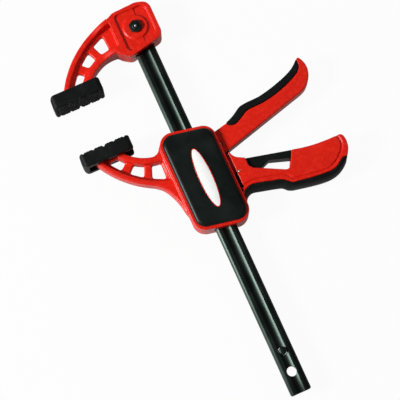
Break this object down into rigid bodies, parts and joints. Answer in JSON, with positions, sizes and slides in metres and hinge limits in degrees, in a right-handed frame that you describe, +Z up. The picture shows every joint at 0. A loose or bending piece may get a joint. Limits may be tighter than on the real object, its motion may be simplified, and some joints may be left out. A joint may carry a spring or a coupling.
{
  "type": "one-handed bar clamp",
  "caption": "Quick-action bar clamp: a jaw bolted to a flat grooved bar, a sliding body with a second jaw, squeeze trigger, release lever, fixed handle and rubber jaw pads.",
  "frame": {"origin": "on the back cover's flat outer face, which the clamp lies on, under the bar's axis at the middle of the body", "axes": "+Z up from the rest face through the clamp's thickness, +Y along the bar towards the fixed jaw, +X across towards the trigger and the handle"},
  "size_m": [0.2134, 0.3578, 0.0302],
  "materials": {
    "red_plastic": "satin moulded",
    "black_plastic": "satin moulded",
    "rubber": "matte",
    "black_steel": "black oxide",
    "bright_steel": "zinc plated",
    "white_label": "smooth"
  },
  "bodies": {
    "body": {"body_shell": "red_plastic", "front_cover": "black_plastic", "back_cover": "black_plastic", "cover_screw_1": "bright_steel", "cover_screw_2": "bright_steel", "cover_screw_3": "bright_steel", "cover_screw_4": "bright_steel", "badge": "white_label", "moving_jaw_pad": "rubber", "trigger_pivot_pin": "bright_steel", "release_pin": "bright_steel", "handle_grip": "rubber", "drive_spring": "bright_steel", "brake_spring": "bright_steel"},
    "bar": {"slide_bar": "black_steel", "stop_pin": "black_steel", "fixed_jaw": "red_plastic", "jaw_bolt": "bright_steel", "jaw_nut": "black_steel", "fixed_jaw_pad": "rubber"},
    "trigger": {"trigger": "red_plastic", "trigger_grip": "rubber", "drive_pin": "bright_steel"},
    "drive_plates": {"drive_plate_1": "bright_steel", "drive_plate_2": "bright_steel"},
    "release": {"release_lever": "black_plastic"},
    "brake": {"brake_plate": "bright_steel"}
  },
  "joints": [
    {"name": "bar_slide", "type": "slide", "parent": "body", "child": "bar", "axis": [0, 1, 0], "range_m": [-0.0429, 0.1085]},
    {"name": "trigger_hinge", "type": "hinge", "parent": "body", "child": "trigger", "pos_m": [-0.0152, 0.01709, 0.015], "axis": [0, 0, -1], "range_deg": [0, 12.5], "stiffness_Nm_per_rad": 1, "springref_deg": -5.73},
    {"name": "drive_plate_slide", "type": "slide", "parent": "body", "child": "drive_plates", "axis": [0, -1, 0], "range_m": [0, 0.009], "deforming": ["drive_spring"]},
    {"name": "release_hinge", "type": "hinge", "parent": "body", "child": "release", "pos_m": [0.0287, -0.0065, 0.015], "axis": [0, 0, -1], "range_deg": [0, 7.3], "stiffness_Nm_per_rad": 0.6, "springref_deg": -5.73},
    {"name": "brake_tilt", "type": "hinge", "parent": "body", "child": "brake", "pos_m": [0.012, -0.0153, 0.015], "axis": [0, 0, 1], "range_deg": [0, 8], "deforming": ["brake_spring"]}
  ],
  "couplings": [
    {"joint": "drive_plate_slide", "follows": "trigger_hinge", "m_per_rad": 0.03855},
    {"joint": "brake_tilt", "follows": "release_hinge", "ratio": 1.09}
  ]
}
